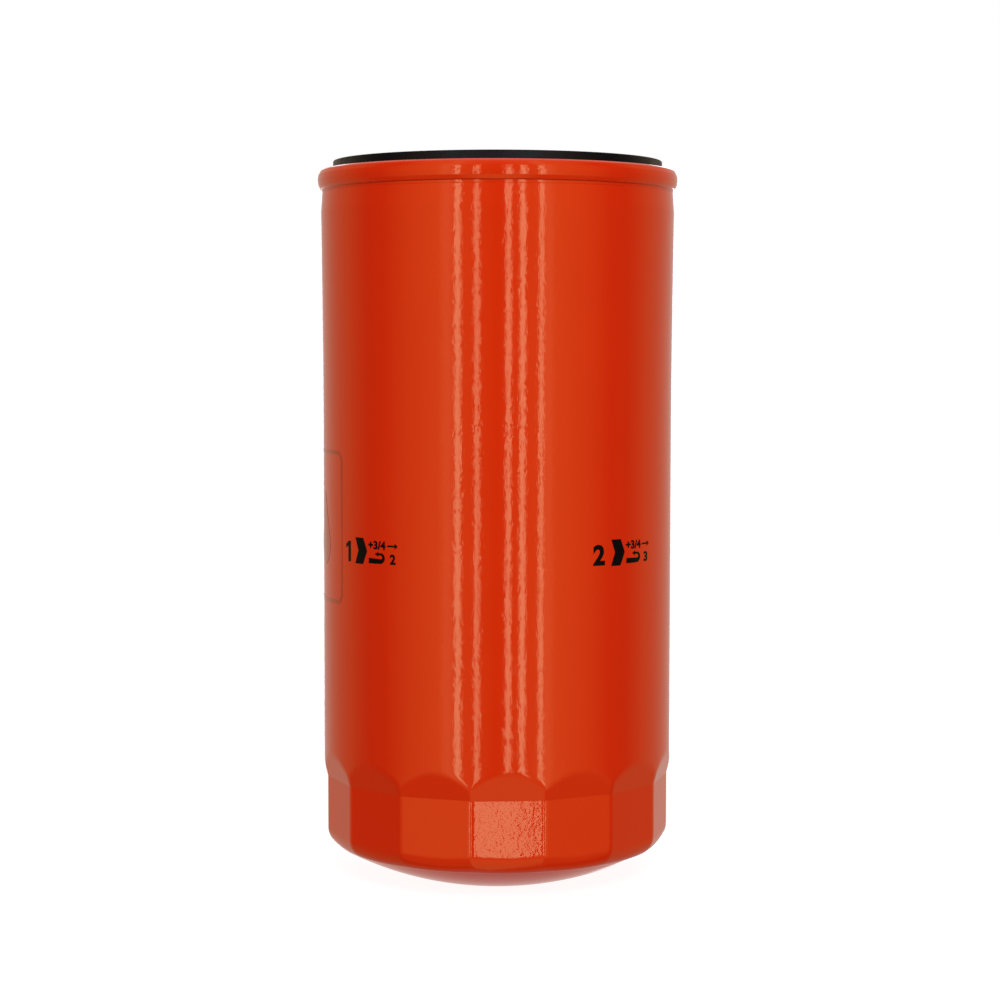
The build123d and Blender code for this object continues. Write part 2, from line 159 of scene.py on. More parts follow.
class Nodes:
    """Short way to build a node tree."""

    def __init__(self, tree):
        self.tree = tree
        self.tree.nodes.clear()

    def add(self, kind, inputs=None, **settings):
        """New node; inputs holds numbers, colours or (node, output) links by socket name or number."""
        node = self.tree.nodes.new(kind)
        for key, value in settings.items():
            setattr(node, key, value)
        for key, value in (inputs or {}).items():
            socket = node.inputs[key]
            if isinstance(value, tuple) and isinstance(value[0], bpy.types.Node):
                self.tree.links.new(value[0].outputs[value[1]], socket)
            else:
                socket.default_value = value
        return node

    def math(self, operation, first, second=0.0, third=0.0):
        """Math node; each operand is a number or a (node, output) link."""
        node = self.add("ShaderNodeMath", {0: first, 1: second, 2: third}, operation=operation)
        return node, 0


def colour(red, green, blue):
    """Linear colour with full alpha."""
    return (red, green, blue, 1.0)


def new_material(
    name, base, shade, roughness, rough_spread, bump_mm, grain_mm, metallic=0.0, ior=1.5, tint=None
):
    """Surface whose colour wanders between base and shade, with uneven gloss and a fine grain.

    grain_mm holds the grain's sizes and bump_mm their heights, largest first."""
    material = bpy.data.materials.new(name)
    material.use_nodes = True
    nodes = Nodes(material.node_tree)
    place = nodes.add("ShaderNodeTexCoord")
    spread = nodes.add(
        "ShaderNodeTexNoise",
        {"Vector": (place, "Object"), "Scale": 1 / (grain_mm[0] * 4 * MM), "Detail": 6.0},
    )
    mix = nodes.add("ShaderNodeMix", {0: (spread, 0), 6: base, 7: shade}, data_type="RGBA")
    gloss = nodes.add(
        "ShaderNodeTexNoise",
        {"Vector": (place, "Object"), "Scale": 1 / (grain_mm[0] * 2.3 * MM), "Detail": 8.0, "Roughness": 0.5},
    )
    gloss_range = nodes.add(
        "ShaderNodeMapRange",
        {0: (gloss, 0), 1: 0.3, 2: 0.7, 3: max(roughness - rough_spread, 0.0), 4: roughness + rough_spread},
    )
    normal = None
    for size, height in zip(grain_mm, bump_mm):
        grain = nodes.add(
            "ShaderNodeTexNoise", {"Vector": (place, "Object"), "Scale": 1 / (size * MM), "Detail": 2.0}
        )
        inputs = {"Strength": 1.0, "Distance": height * MM, "Height": (grain, 0)}
        if normal:
            inputs["Normal"] = (normal, 0)
        normal = nodes.add("ShaderNodeBump", inputs)
    shader = nodes.add(
        "ShaderNodeBsdfPrincipled",
        {
            "Base Color": (mix, 2),
            "Roughness": (gloss_range, 0),
            "Metallic": metallic,
            "IOR": ior,
            "Normal": (normal, 0),
            "Specular Tint": tint or colour(1, 1, 1),
        },
    )
    nodes.add("ShaderNodeOutputMaterial", {"Surface": (shader, 0)})
    return material


PAINT_BUMP = (0.03, 0.02, 0.006)
PAINT_GRAIN = (6.0, 1.0, 0.45)
PAINT_TINT = colour(1, 1, 0.45)
ORANGE = new_material(
    "orange_enamel", colour(0.72, 0.0245, 0.0021), colour(0.68, 0.022, 0.002), 0.035, 0.01,
    PAINT_BUMP, PAINT_GRAIN, tint=PAINT_TINT,
)
BLACK_INK = new_material(
    "black_ink", colour(0.002, 0.0015, 0.002), colour(0.004, 0.003, 0.003), 0.3, 0.05,
    (0.001,), (0.6,), ior=1.2,
)
LABEL_INK = new_material(
    "label_ink", colour(0.36, 0.02, 0.003), colour(0.58, 0.024, 0.003), 0.05, 0.01,
    PAINT_BUMP, PAINT_GRAIN, tint=PAINT_TINT,
)
NITRILE = new_material(
    "black_nitrile", colour(0.0015, 0.0012, 0.004), colour(0.003, 0.0025, 0.006), 0.4, 0.08,
    (0.01, 0.003), (3.0, 0.4), ior=1.3,
)
SILICONE = new_material(
    "red_silicone", colour(0.36, 0.055, 0.02), colour(0.28, 0.04, 0.015), 0.42, 0.06,
    (0.01, 0.004), (3.0, 0.5),
)
ZINC = new_material(
    "zinc_sheet", colour(0.62, 0.61, 0.57), colour(0.5, 0.5, 0.48), 0.3, 0.1,
    (0.006, 0.002), (3.0, 0.5), metallic=1.0,
)
PLATE_STEEL = new_material(
    "stamped_steel", colour(0.48, 0.47, 0.44), colour(0.36, 0.35, 0.33), 0.36, 0.1,
    (0.02, 0.004), (3.0, 0.4), metallic=1.0,
)
TINPLATE = new_material(
    "tinplate", colour(0.66, 0.65, 0.62), colour(0.56, 0.55, 0.53), 0.22, 0.07,
    (0.004, 0.001), (4.0, 0.5), metallic=1.0,
)
SPRING_STEEL = new_material(
    "oiled_spring_wire", colour(0.3, 0.3, 0.31), colour(0.2, 0.19, 0.19), 0.3, 0.08,
    (0.004, 0.002), (2.0, 0.4), metallic=1.0,
)
PAPER = new_material(
    "filter_paper", colour(0.62, 0.38, 0.12), colour(0.52, 0.3, 0.09), 0.85, 0.05, (0.05, 0.03), (1.2, 0.25)
)
ADHESIVE = new_material(
    "potting_adhesive", colour(0.2, 0.2, 0.21), colour(0.27, 0.27, 0.28), 0.45, 0.1, (0.05, 0.01), (3.0, 0.5)
)
HOT_MELT = new_material(
    "hot_melt", colour(0.62, 0.52, 0.28), colour(0.52, 0.42, 0.2), 0.35, 0.08, (0.08, 0.01), (2.0, 0.5)
)
COMPOUND = new_material(
    "seam_compound", colour(0.2, 0.22, 0.25), colour(0.26, 0.28, 0.3), 0.6, 0.08, (0.05, 0.01), (1.5, 0.4)
)
NYLON = new_material(
    "black_nylon", colour(0.02, 0.02, 0.022), colour(0.03, 0.03, 0.032), 0.4, 0.08, (0.006, 0.004), (2.0, 0.3)
)


# ---------------------------------------------------------------- mesh tools


def make_piece(name, points, faces, material, body, sharp_deg=35.0):
    """Mesh object from points in millimetres, riding on a body."""
    mesh = bpy.data.meshes.new(name)
    mesh.from_pydata([(x * MM, y * MM, z * MM) for x, y, z in points], [], faces)
    mesh.validate()
    piece = bpy.data.objects.new(name, mesh)
    bpy.context.scene.collection.objects.link(piece)
    clean = bmesh.new()
    clean.from_mesh(mesh)
    bmesh.ops.remove_doubles(clean, verts=clean.verts, dist=1e-7)
    bmesh.ops.recalc_face_normals(clean, faces=clean.faces)
    clean.to_mesh(mesh)
    clean.free()
    for polygon in mesh.polygons:
        polygon.use_smooth = True
    mesh.set_sharp_from_angle(angle=math.radians(sharp_deg))
    mesh.materials.append(material)
    if body:
        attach(piece, body)
    return piece


def rounded(points, radii, steps=6, closed=False):
    """Polyline with its corners turned into arcs; a radius of 0 keeps a corner sharp."""
    result = []
    count = len(points)
    for index, (point, radius) in enumerate(zip(points, radii)):
        at_end = not closed and index in (0, count - 1)
        if radius == 0 or at_end:
            result.append(point)
            continue
        here = Vector(point)
        back = (Vector(points[index - 1]) - here).normalized()
        ahead = (Vector(points[(index + 1) % count]) - here).normalized()
        half = back.angle(ahead) / 2
        center = here + (back + ahead).normalized() * radius / math.sin(half)
        start = here + back * radius / math.tan(half) - center
        turn = math.pi - 2 * half
        if back.x * ahead.y - back.y * ahead.x > 0:
            turn = -turn
        for step in range(steps + 1):
            angle = turn * step / steps
            x = start.x * math.cos(angle) - start.y * math.sin(angle)
            y = start.x * math.sin(angle) + start.y * math.cos(angle)
            result.append((center.x + x, center.y + y))
    return result


def lathe(name, outline, material, body, segments=256, sharp_deg=35.0):
    """Closed outline of (radius, height) points turned about the Z axis."""
    points = []
    for index in range(segments):
        angle = 2 * math.pi * index / segments
        points += [(r * math.cos(angle), r * math.sin(angle), z) for r, z in outline]
    faces = []
    rows = len(outline)
    for index in range(segments):
        here = index * rows
        there = (index + 1) % segments * rows
        for row in range(rows):
            after = (row + 1) % rows
            if outline[row][0] == 0 and outline[after][0] == 0:
                continue
            if outline[row][0] == 0:
                faces.append((here + row, there + after, here + after))
            elif outline[after][0] == 0:
                faces.append((here + row, there + row, here + after))
            else:
                faces.append((here + row, there + row, there + after, here + after))
    return make_piece(name, points, faces, material, body, sharp_deg)


def arc_points(center, radius, from_deg, to_deg, steps):
    """Points along an arc, both ends included."""
    angles = [math.radians(from_deg + (to_deg - from_deg) * step / steps) for step in range(steps + 1)]
    return [(center[0] + radius * math.cos(a), center[1] + radius * math.sin(a)) for a in angles]


# ---------------------------------------------------------------- can


def ridge_radius(offset_deg, apothem):
    """Radius of the rounded polygon at an angle from the middle of a flat."""
    half_pitch = math.pi / FLAT_COUNT
    offset = abs(math.radians(offset_deg))
    center_r = (apothem - RIDGE_FILLET) / math.cos(half_pitch)
    if math.tan(offset) <= (apothem - RIDGE_FILLET) * math.tan(half_pitch) / apothem:
        return apothem / math.cos(offset)
    aside = half_pitch - offset
    return center_r * math.cos(aside) + math.sqrt(RIDGE_FILLET**2 - (center_r * math.sin(aside)) ** 2)


def shoulder_radius(offset_deg, z):
    """Radius of a flat's shoulder, melting softly into the round body."""
    slanted = ridge_radius(offset_deg, FLAT_APOTHEM + (z - BREAK_Z) * SHOULDER_SLOPE)
    share = min(max(0.5 + 0.5 * (BODY_R - slanted) / SHOULDER_BLEND, 0), 1)
    return BODY_R + (slanted - BODY_R) * share - SHOULDER_BLEND * share * (1 - share)


def arch_height(offset_deg):
    """Height at which a flat's shoulder meets the round body."""
    low = FLAT_APOTHEM
    high = BODY_R
    for _ in range(HALVINGS):
        middle = (low + high) / 2
        if ridge_radius(offset_deg, middle) < BODY_R:
            low = middle
        else:
            high = middle
    return BREAK_Z + (high - FLAT_APOTHEM) / SHOULDER_SLOPE


def bezier(start, start_handle, end_handle, end, steps):
    """Cubic curve, both ends included."""
    result = []
    for step in range(steps + 1):
        t = step / steps
        weights = ((1 - t) ** 3, 3 * t * (1 - t) ** 2, 3 * t * t * (1 - t), t**3)
        controls = (start, start_handle, end_handle, end)
        x = sum(w * c[0] for w, c in zip(weights, controls))
        y = sum(w * c[1] for w, c in zip(weights, controls))
        result.append((x, y))
    return result


def body_radius(z):
    """Outside radius of the round body between the shoulders and the neck."""
    if z <= FLARE_START_Z:
        return BODY_R
    share = (z - FLARE_START_Z) / (FLARE[1] - FLARE_START_Z)
    return BODY_R + (FLARE[0] - BODY_R) * share**1.5


def can_floor():
    """Underside of the can from its centre to the crease round the dome."""
    edge = math.radians(DOME_EDGE_DEG)
    center = (CREASE[0] - DOME_R * math.sin(edge), CREASE[1] + DOME_R * math.cos(edge))
    foot_r = center[0] + math.sqrt(DOME_R**2 - center[1] ** 2)
    foot_deg = -90 + math.degrees(math.asin((foot_r - center[0]) / DOME_R))
    edge_deg = -90 + DOME_EDGE_DEG
    flat = [(0, DIMPLE[1]), (4, DIMPLE[1]), (8, DIMPLE[1]), DIMPLE, (FOOT_INNER_R, 0), (foot_r, 0)]
    start = rounded(flat, [0, 0, 0, 1.6, 1.6, 0])
    return start + arc_points(center, DOME_R, foot_deg, edge_deg, 26)[1:]


def can_section(offset_deg):
    """Outside of the can from the middle of its floor to the tip of its body hook."""
    flat_r = ridge_radius(offset_deg, FLAT_APOTHEM)
    ridge_r = ridge_radius(180 / FLAT_COUNT, FLAT_APOTHEM)
    toward_ridge = (flat_r - FLAT_APOTHEM) / (ridge_r - FLAT_APOTHEM)
    flat_end = (flat_r, CORNER_Z - CORNER_DIP * (1 - toward_ridge))
    crease = math.radians(CREASE_DEG)
    reach = CORNER_HANDLES[0] * (flat_r - CREASE[0])
    start_handle = (CREASE[0] + reach * math.cos(crease), CREASE[1] + reach * math.sin(crease))
    end_handle = (flat_r, flat_end[1] - CORNER_HANDLES[1] * (flat_end[1] - CREASE[1]))
    points = can_floor()
    fall = CREASE_LEAD * math.tan(math.radians(DOME_EDGE_DEG))
    points.insert(-1, (points[-1][0] - CREASE_LEAD, points[-1][1] - fall))
    points += bezier(CREASE, start_handle, end_handle, flat_end, 12)[1:]
    points += [(flat_r, z) for z in FLAT_ROWS]
    arch = arch_height(offset_deg)
    for share in SHOULDER_ROWS:
        z = BREAK_Z + (arch - BREAK_Z) * share
        points.append((shoulder_radius(offset_deg, z), z))
    for rise in ARCH_ROWS:
        points.append((shoulder_radius(offset_deg, arch + rise), arch + rise))
    points += [(body_radius(z), z) for z in BODY_ROWS]
    hook = [points[-1], FLARE, NECK, (HOOK_R, NECK_END_Z)]
    hook += [(HOOK_R, HOOK_TOP_Z), (HOOK_TIP_R, HOOK_TOP_Z), (HOOK_TIP_R, HOOK_TIP_Z)]
    return points[:-1] + rounded(hook, [0, 14, 0.5, 0.4, 0.28, 0.28, 0])


def inner_side(points, thickness):
    """Points moved to the left of the line by one sheet thickness."""
    moved = []
    for index, point in enumerate(points):
        before = Vector(points[max(index - 1, 0)])
        after = Vector(points[min(index + 1, len(points) - 1)])
        here = Vector(point)
        sides = []
        for step in (here - before, after - here):
            if step.length > 1e-9:
                step.normalize()
                sides.append(Vector((-step.y, step.x)))
        normal = sum(sides, Vector((0, 0))).normalized()
        reach = thickness / max(normal.dot(sides[0]), 0.5)
        inner = here + normal * reach
        moved.append((0.0 if point[0] == 0 else inner.x, inner.y))
    return moved


def sector_offsets():
    """Column angles within one flat, closer together at the ridges."""
    return [-a for a in reversed(COLUMN_OFFSETS)] + [0, *COLUMN_OFFSETS, 180 / FLAT_COUNT]


def make_can():
    """Can with wrench flats, shoulders, rounded corner, dome and body hook, as one closed sheet."""
    columns = []
    sections = {}
    for flat in range(FLAT_COUNT):
        for offset in sector_offsets():
            key = abs(offset)
            if key not in sections:
                outside = can_section(offset)
                sections[key] = outside + inner_side(outside, CAN_SHEET)[::-1]
            facing = math.radians(FLAT_FACING + 360 / FLAT_COUNT * flat + offset)
            columns.append((facing, sections[key]))
    points = []
    for facing, section in columns:
        points += [(r * math.sin(facing), -r * math.cos(facing), z) for r, z in section]
    rows = len(columns[0][1])
    faces = []
    for index in range(len(columns)):
        here = index * rows
        there = (index + 1) % len(columns) * rows
        faces.append((here, here + 1, there + 1))
        faces.append((here + rows - 1, there + rows - 2, here + rows - 2))
        for row in range(1, rows - 2):
            faces.append((here + row, here + row + 1, there + row + 1, there + row))
    can = make_piece("can_body", points, faces, ORANGE, "housing", sharp_deg=50)
    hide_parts("can")
    return can


# ---------------------------------------------------------------- seam, lid, gasket


def make_lid():
    """Lid in one sheet: cover hook, bulging seam wall, gasket channel, rib and weld land."""
    half_gap = 0.03
    hook_r = 46.26
    chuck_r = 45.2
    low = SEAM_LOW_Z + 0.3
    lip = SEAM_LOW_Z - 0.25
    floor = LID_FLOOR_Z
    under = LID_FLOOR_Z - LID_SHEET
    rib_inner = RIB_R - RIB_WIDTH
    outline = [
        ((hook_r, 186.7), 0.2),
        ((hook_r, lip), 0.05),
        ((46.67, lip), 0.03),
        ((46.76, 183.4), 0.1),
        ((47.22, 183.46), 0.3),
        ((47.7, 184.5), 1.2),
        ((SEAM_R, 185.75), 2.0),
        ((47.74, 187.0), 1.2),
        ((47.22, SEAM_TOP_Z - 0.45), 0.9),
        ((46.2, SEAM_TOP_Z), 0.9),
        ((chuck_r, SEAM_TOP_Z), 0.5),
        ((chuck_r, floor), 0.5),
        ((RIB_R, floor), 0.1),
        ((RIB_R, RIB_TOP_Z), 0.8),
        ((rib_inner, RIB_TOP_Z), 0.8),
        ((rib_inner, floor), 0.5),
        ((LID_OPENING_R, floor), 0.15),
        ((LID_OPENING_R, under), 0.15),
        ((rib_inner + LID_SHEET, under), 0.9),
        ((rib_inner + LID_SHEET, RIB_TOP_Z - LID_SHEET), 0.35),
        ((RIB_R - LID_SHEET, RIB_TOP_Z - LID_SHEET), 0.35),
        ((RIB_R - LID_SHEET, under), 0.5),
        ((chuck_r + LID_SHEET, under), 0.9),
        ((chuck_r + LID_SHEET, SEAM_TOP_Z - LID_SHEET), 0.3),
        ((46.75, SEAM_TOP_Z - LID_SHEET), 0.5),
        ((47.29 + half_gap, 187.3), 0.6),
        ((47.29 + half_gap, low + LID_SHEET), 0.24),
        ((hook_r + LID_SHEET, low + LID_SHEET), 0.24),
        ((hook_r + LID_SHEET, 186.7), 0.2),
    ]
    section = rounded([p for p, _ in outline], [r for _, r in outline], closed=True)
    lid = lathe("rolled_lid", section, ORANGE, "housing", segments=384)
    lid.data.materials.append(ZINC)
    for polygon in lid.data.polygons:
        center = polygon.center / MM
        if math.hypot(center.x, center.y) < PAINT_INNER_R:
            polygon.material_index = 1
    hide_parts("seaming_lid")
    return lid


def make_weld_marks():
    """Ring of projection-weld marks on the lid's land: a shallow raised lip round a small pit."""
    profile = [(0, 0.02), (0.5, 0.03), (0.95, 0.09), (1.3, 0.16), (1.6, 0.12)]
    profile += [(1.85, 0.03), (2.0, -0.03), (0, -0.03)]
    rows = len(profile)
    points = []
    faces = []
    for index in range(WELD_COUNT):
        turn = 2 * math.pi * (index + 0.5) / WELD_COUNT
        base = len(points)
        for step in range(WELD_SEGMENTS):
            angle = 2 * math.pi * step / WELD_SEGMENTS
            for r, rise in profile:
                x = WELD_CIRCLE_R + r * math.cos(angle)
                y = r * math.sin(angle)
                turned_x = x * math.cos(turn) - y * math.sin(turn)
                turned_y = x * math.sin(turn) + y * math.cos(turn)
                points.append((turned_x, turned_y, LID_FLOOR_Z + rise))
        for step in range(WELD_SEGMENTS):
            here = base + step * rows
            there = base + (step + 1) % WELD_SEGMENTS * rows
            faces.append((here, there + 1, here + 1))
            for row in range(1, rows - 2):
                faces.append((here + row, there + row, there + row + 1, here + row + 1))
            faces.append((here + rows - 2, there + rows - 2, here + rows - 1))
    return make_piece("weld_marks", points, faces, ZINC, "housing", sharp_deg=60)


def make_gasket():
    """Moulded sealing ring with barely broken edges."""
    inner = RIB_R + 0.02
    low = GASKET_LOW[2]
    high = GASKET_HIGH[2]
    corners = [(inner, low), (GASKET_R, low), (GASKET_R, high), (inner, high)]
    section = rounded(corners, [0.4, 0.4, 0.3, 0.4], closed=True)
    gasket = lathe("gasket_ring", section, NITRILE, "housing", segments=384)
    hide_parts("outer_gasket")
    return gasket


# ---------------------------------------------------------------- tapping plate


def thread_cutter():
    """Screw-shaped solid that cuts the plate's thread, with a lead-in at both ends."""
    columns = THREAD_COLUMNS
    low = PLATE_LOW[2] - LEAD_IN
    high = PLATE_TOP_Z + LEAD_IN
    rows = int((high - low) / (THREAD_PITCH / THREAD_ROWS))
    points = []
    for row in range(rows + 1):
        z = low + (high - low) * row / rows
        lead_in = max(PLATE_LOW[2] + LEAD_IN - z, z - (PLATE_TOP_Z - LEAD_IN), 0)
        for column in range(columns):
            angle = 2 * math.pi * column / columns
            phase = (z / THREAD_PITCH - column / columns) % 1.0
            flank = min(max((abs(phase - 0.5) * 2 - THREAD_CREST) / (1 - 2 * THREAD_CREST), 0), 1)
            r = THREAD_MINOR_R + 0.004 + THREAD_DEPTH * (1 - flank)
            r = max(r, THREAD_MINOR_R + min(lead_in, LEAD_IN_MAX) * LEAD_IN_SLOPE)
            points.append((r * math.cos(angle), r * math.sin(angle), z))
    faces = []
    for row in range(rows):
        for column in range(columns):
            after = (column + 1) % columns
            here = row * columns
            there = here + columns
            faces.append((here + column, here + after, there + after, there + column))
    faces.append(tuple(reversed(range(columns))))
    faces.append(tuple(range(rows * columns, (rows + 1) * columns)))
    mesh = bpy.data.meshes.new("thread_cutter")
    mesh.from_pydata([(x * MM, y * MM, z * MM) for x, y, z in points], [], faces)
    cutter = bpy.data.objects.new("thread_cutter", mesh)
    bpy.context.scene.collection.objects.link(cutter)
    return cutter


def make_tapping_plate():
    """A copy of the CAD plate with its thread cut."""
    plate = bpy.data.objects.new("threaded_plate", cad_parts["tapping_plate"].data.copy())
    bpy.context.scene.collection.objects.link(plate)
    cutter = thread_cutter()
    cut = plate.modifiers.new("thread", "BOOLEAN")
    cut.object = cutter
    cut.operation = "DIFFERENCE"
    cut.solver = "EXACT"
    bpy.context.view_layer.update()
    graph = bpy.context.evaluated_depsgraph_get()
    mesh = bpy.data.meshes.new_from_object(plate.evaluated_get(graph))
    plate.modifiers.clear()
    plate.data = mesh
    bpy.data.objects.remove(cutter)
    mesh.attributes.remove(mesh.attributes["custom_normal"])  # the cut leaves the old ones wrong
    for polygon in mesh.polygons:
        polygon.use_smooth = True
    mesh.set_sharp_from_angle(angle=math.radians(28))
    mesh.materials.clear()
    mesh.materials.append(PLATE_STEEL)
    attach(plate, "housing")
    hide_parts("tapping_plate")
    return plate


# ---------------------------------------------------------------- springs


def make_coil(name, low, high, sizes, replaced):
    """Compression spring with closed, ground ends, from one body up to another."""
    coil_r, wire_r, active_turns = sizes
    start = low + 0.5 * wire_r
    end = high - 0.5 * wire_r
    closed_rise = CLOSED_RISE * wire_r * CLOSED_TURNS
    turns = active_turns + 2 * CLOSED_TURNS
    steps = int(turns * COIL_STEPS)
    points = []
    for step in range(steps + 1):
        turn = turns * step / steps
        if turn < CLOSED_TURNS:
            z = start + closed_rise * turn / CLOSED_TURNS
        elif turn > CLOSED_TURNS + active_turns:
            z = end - closed_rise * (turns - turn) / CLOSED_TURNS
        else:
            share = (turn - CLOSED_TURNS) / active_turns
            z = start + closed_rise + (end - start - 2 * closed_rise) * share
        angle = 2 * math.pi * turn
        for side in range(COIL_SIDES):
            around = 2 * math.pi * side / COIL_SIDES
            r = coil_r + wire_r * math.cos(around)
            height = min(max(z + wire_r * math.sin(around), low), high)
            points.append((r * math.cos(angle), r * math.sin(angle), height))
    faces = []
    for step in range(steps):
        here = step * COIL_SIDES
        there = here + COIL_SIDES
        for side in range(COIL_SIDES):
            after = (side + 1) % COIL_SIDES
            faces.append((here + side, here + after, there + after, there + side))
    faces.append(tuple(range(COIL_SIDES)))
    faces.append(tuple(range(steps * COIL_SIDES, (steps + 1) * COIL_SIDES)))
    spring = make_piece(name, points, faces, SPRING_STEEL, None, sharp_deg=40)
    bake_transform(spring)
    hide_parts(replaced)
    return spring


def make_springs():
    """Element spring between can and element, bypass spring between poppet and cage."""
    low = cad_box("element_spring")[0][2]
    high = cad_box("spring_retainer")[1][2] - RETAINER_SEAT
    make_coil("element_coil", low, high, ELEMENT_COIL, "element_spring")
    low = cad_box("bypass_poppet")[0][2] + POPPET_SEAT
    high = cad_box("bypass_cage")[1][2] - CAGE_SEAT
    make_coil("bypass_coil", low, high, BYPASS_COIL, "bypass_spring")


# ---------------------------------------------------------------- printing


def wrap(u, v, rise):
    """Point on the can for u mm of arc from the -Y side towards +X, at height v."""
    r = body_radius(v) + rise
    angle = u / BODY_R
    return (r * math.sin(angle), -r * math.cos(angle), v)


def print_on_can(name, shapes, material):
    """Thin ink, from flat meshes in (u, v) millimetres, bent round the can."""
    sheet = bmesh.new()
    for points, faces in shapes:
        corners = [sheet.verts.new((x, y, 0)) for x, y in points]
        for face in faces:
            sheet.faces.new([corners[i] for i in face])
    bmesh.ops.remove_doubles(sheet, verts=sheet.verts, dist=1e-4)
    bmesh.ops.triangulate(sheet, faces=sheet.faces)
    u_low = min(v.co.x for v in sheet.verts)
    u_high = max(v.co.x for v in sheet.verts)
    for index in range(1, int((u_high - u_low) / INK_STEP) + 1):
        geometry = sheet.verts[:] + sheet.edges[:] + sheet.faces[:]
        at = (u_low + index * INK_STEP, 0, 0)
        bmesh.ops.bisect_plane(sheet, geom=geometry, dist=1e-5, plane_co=at, plane_no=(1, 0, 0))
    bmesh.ops.recalc_face_normals(sheet, faces=sheet.faces)
    for face in sheet.faces:
        if face.normal.z < 0:
            face.normal_flip()
    copies = bmesh.ops.extrude_face_region(sheet, geom=sheet.faces[:])["geom"]
    raised = {v for v in copies if isinstance(v, bmesh.types.BMVert)}
    for vertex in sheet.verts:
        rise = INK_RISE + (INK_THICKNESS if vertex in raised else 0.0)
        vertex.co = Vector(wrap(vertex.co.x, vertex.co.y, rise)) * MM
    bmesh.ops.recalc_face_normals(sheet, faces=sheet.faces)
    mesh = bpy.data.meshes.new(name)
    sheet.to_mesh(mesh)
    sheet.free()
    mesh.materials.append(material)
    piece = bpy.data.objects.new(name, mesh)
    bpy.context.scene.collection.objects.link(piece)
    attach(piece, "housing")
    return piece


def glyphs(text, u, v, height, width=None, weight=0.0):
    """Flat mesh of digits and signs whose lower left corner is at (u, v)."""
    curve = bpy.data.curves.new("glyphs", "FONT")
    curve.body = text
    curve.offset = weight
    curve.resolution_u = 8
    holder = bpy.data.objects.new("glyphs", curve)
    bpy.context.scene.collection.objects.link(holder)
    bpy.context.view_layer.update()
    graph = bpy.context.evaluated_depsgraph_get()
    mesh = bpy.data.meshes.new_from_object(holder.evaluated_get(graph))
    xs = [vertex.co.x for vertex in mesh.vertices]
    ys = [vertex.co.y for vertex in mesh.vertices]
    scale_y = height / (max(ys) - min(ys))
    scale_x = width / (max(xs) - min(xs)) if width else scale_y
    points = [(u + (p.co.x - min(xs)) * scale_x, v + (p.co.y - min(ys)) * scale_y) for p in mesh.vertices]
    faces = [tuple(polygon.vertices) for polygon in mesh.polygons]
    bpy.data.objects.remove(holder)
    return points, faces


def polygon_shape(points):
    """One flat face."""
    return points, [tuple(range(len(points)))]


def band(points, widths):
    """Flat strip along a line, with its own width at each point."""
    left = []
    right = []
    for index, point in enumerate(points):
        before = Vector(points[max(index - 1, 0)])
        after = Vector(points[min(index + 1, len(points) - 1)])
        along = (after - before).normalized()
        side = Vector((-along.y, along.x)) * widths[index] / 2
        left.append(tuple(Vector(point) + side))
        right.append(tuple(Vector(point) - side))
    count = len(points)
    faces = [(i, i + 1, count + i + 1, count + i) for i in range(count - 1)]
    return left + right, faces


def numeral(number, u, v, height):
    """Bold figure whose lower left corner is at (u, v)."""
    if number > 1:
        return glyphs(str(number), u, v, height, 0.7 * height, 0.04)
    stem = [(0.5, 0), (0.5, 1), (0.31, 1), (0.08, 0.84), (0.08, 0.66), (0.28, 0.76), (0.28, 0)]
    return polygon_shape([(u + x * height, v + y * height) for x, y in stem])


def turn_arrow(u, v):
    """Arrow that runs right, turns up and comes back."""
    radius = 0.92
    low = v + 0.62
    high = low + 2 * radius
    steps = 16
    bend = arc_points((u + 4.3, low + radius), radius, -90, 90, steps)
    path = [(u, v + 0.66), (u + 1.5, v + 0.64), (u + 3.0, low), *bend, (u + 3.5, high)]
    widths = [1.34, 1.32, 1.26] + [1.16 - 0.64 * step / steps for step in range(steps + 1)] + [0.5]
    tip_u = u + 2.2
    head = polygon_shape([(tip_u + 1.3, high + 0.62), (tip_u, high), (tip_u + 1.3, high - 0.62)])
    return [band(path, widths), head]


def short_arrow(u, v, length):
    """Straight arrow to the right."""
    neck = u + length - 1.0
    shaft = band([(u, v), (neck, v)], [0.42, 0.42])
    head = polygon_shape([(neck, v + 0.75), (neck, v - 0.75), (u + length, v)])
    return [shaft, head]


def make_turn_marks():
    """Tightening marks, numbered round the can: from one number, three quarters on to the next."""
    for index in range(MARK_COUNT):
        u = (FIRST_MARK_DEG + index * 360 / MARK_COUNT) * DEGREE
        v = MARK_BASE_Z
        following = (index + 1) % MARK_COUNT + 1
        shapes = [numeral(index + 1, u + (1.9 if index == 0 else 0.9), v + 0.2, 5.3)]
        shapes.append(polygon_shape([(u + x, v + y) for x, y in CHEVRON]))
        shapes.append(glyphs("+3/4", u + 11.9, v + 3.9, 2.2, 6.1, 0.04))
        shapes += short_arrow(u + 18.6, v + 4.95, 3.3)
        shapes += turn_arrow(u + 12.1, v + 0.3)
        shapes.append(numeral(following, u + 19.4, v + 0.3, 2.6))
        print_on_can(f"turn_mark_{index + 1}", shapes, BLACK_INK)


def frame_band(u_low, u_high, v_low, v_high, radius, width):
    """Closed rounded frame line."""
    corners = [(u_low, v_low), (u_high, v_low), (u_high, v_high), (u_low, v_high)]
    line = rounded(corners, [radius] * 4, closed=True)
    count = len(line)
    points = []
    for index, point in enumerate(line):
        before = Vector(line[index - 1])
        after = Vector(line[(index + 1) % count])
        along = (after - before).normalized()
        side = Vector((-along.y, along.x)) * width / 2
        points += [tuple(Vector(point) + side), tuple(Vector(point) - side)]
    faces = []
    for index in range(count):
        here = 2 * index
        there = 2 * ((index + 1) % count)
        faces.append((here, there, there + 1, here + 1))
    return points, faces


